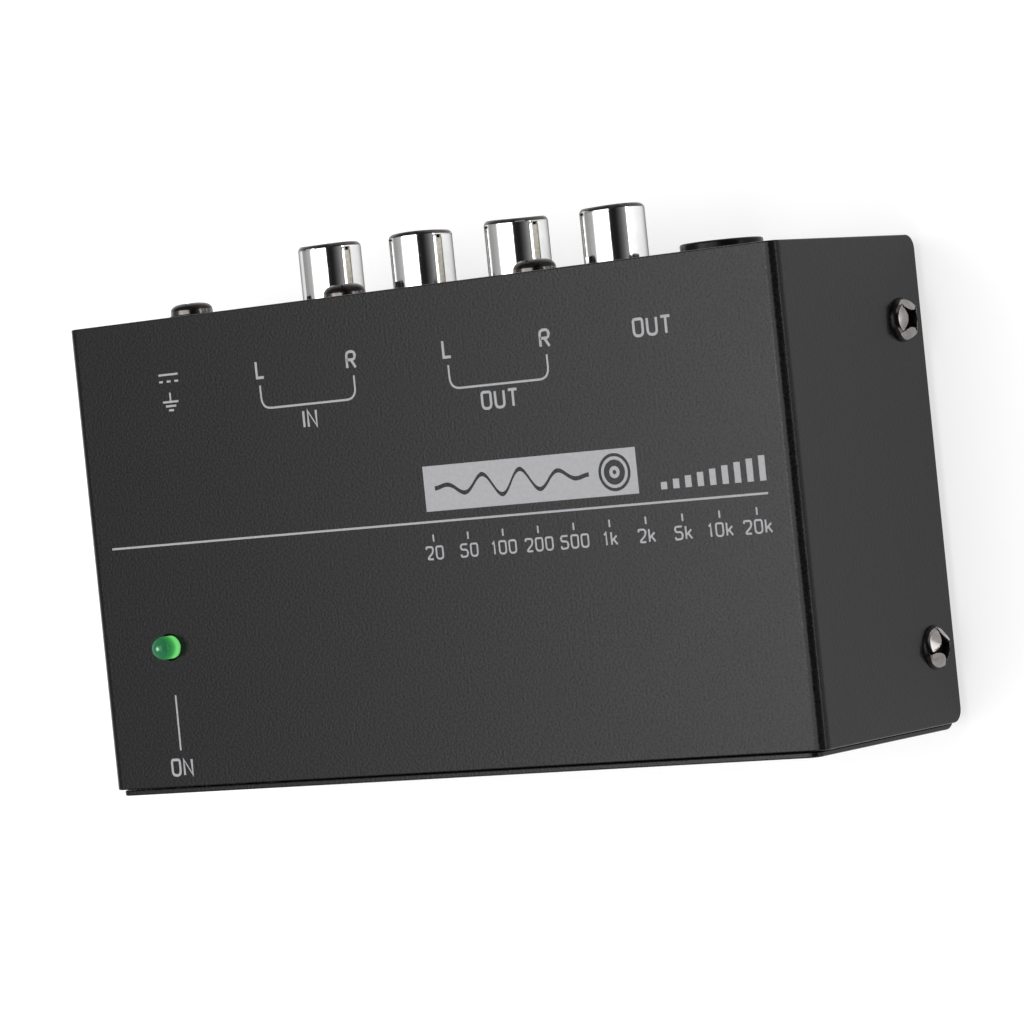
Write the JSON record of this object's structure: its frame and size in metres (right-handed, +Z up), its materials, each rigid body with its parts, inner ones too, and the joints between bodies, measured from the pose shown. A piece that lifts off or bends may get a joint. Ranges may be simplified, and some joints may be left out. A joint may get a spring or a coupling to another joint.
{
  "type": "phono preamp",
  "caption": "Small black folded-steel phono preamp with chrome phono jacks, a quarter-inch output, a supply inlet and a ground screw on its rear wall, and a green power light on top.",
  "frame": {"origin": "on the floor under the middle of the whole object, jack barrels included", "axes": "+X along the width, seen from the front with the jacks behind; +Y towards the rear wall; +Z up"},
  "size_m": [0.1138, 0.0698, 0.039],
  "materials": {
    "black_powder_coat": "fine satin powder coat on folded steel",
    "black_nickel": "polished dark nickel",
    "bright_nickel": "bright nickel plate",
    "foot_rubber": "matte",
    "zinc_steel": "zinc plated",
    "green_laminate": "solder mask over glass laminate",
    "black_moulding": "matte moulding",
    "gloss_black_moulding": "gloss moulding",
    "tinned_spring": "tinned",
    "green_lens": "clear tinted resin",
    "white_nylon": "matte",
    "white_insulator": "gloss",
    "red_insulator": "gloss",
    "chip_plastic": "matte",
    "can_sleeve": "shrunk sleeve",
    "film_case": "gloss",
    "resistor_coat": "lacquer",
    "choke_wire": "enamelled winding"
  },
  "bodies": {
    "case": {"base_chassis": "black_powder_coat", "top_cover": "black_powder_coat", "cover_screws": "black_nickel", "foot_front_left": "foot_rubber", "foot_front_right": "foot_rubber", "foot_rear_left": "foot_rubber", "foot_rear_right": "foot_rubber", "board_standoffs": "zinc_steel", "board_screws": "zinc_steel", "circuit_board": "green_laminate", "rca_block_input": "black_moulding", "rca_block_output": "black_moulding", "rca_block_screws": "black_nickel", "trs_body": "gloss_black_moulding", "trs_tip_spring": "tinned_spring", "trs_ring_spring": "tinned_spring", "trs_sleeve_contact": "tinned_spring", "dc_jack_body": "black_moulding", "dc_jack_pin": "bright_nickel", "dc_jack_spring": "tinned_spring", "ground_nut": "zinc_steel", "led_lens": "green_lens", "led_leads": "tinned_spring", "led_spacer": "white_nylon", "op_amps": "chip_plastic", "electrolytic_capacitors": "can_sleeve", "film_capacitors": "film_case", "resistors": "resistor_coat", "voltage_regulator": "chip_plastic", "supply_choke": "choke_wire", "rca_shell_input_left": "bright_nickel", "rca_insulator_input_left": "white_insulator", "rca_contact_input_left": "tinned_spring", "rca_shell_input_right": "bright_nickel", "rca_insulator_input_right": "red_insulator", "rca_contact_input_right": "tinned_spring", "rca_shell_output_left": "bright_nickel", "rca_insulator_output_left": "white_insulator", "rca_contact_output_left": "tinned_spring", "rca_shell_output_right": "bright_nickel", "rca_insulator_output_right": "red_insulator", "rca_contact_output_right": "tinned_spring"},
    "terminal_washer": {"ground_washer": "black_nickel"},
    "terminal_screw": {"ground_screw": "black_nickel"}
  },
  "joints": [
    {"name": "terminal_travel", "type": "slide", "parent": "case", "child": "terminal_washer", "axis": [0, 1, 0], "range_m": [0, 0.003]},
    {"name": "terminal_turn", "type": "hinge", "parent": "terminal_washer", "child": "terminal_screw", "pos_m": [-0.0386, 0.02755, 0.0298], "axis": [0, 1, 0], "range_deg": [0, 2160]}
  ],
  "couplings": [
    {"joint": "terminal_turn", "follows": "terminal_travel", "rad_per_m": 12566}
  ]
}
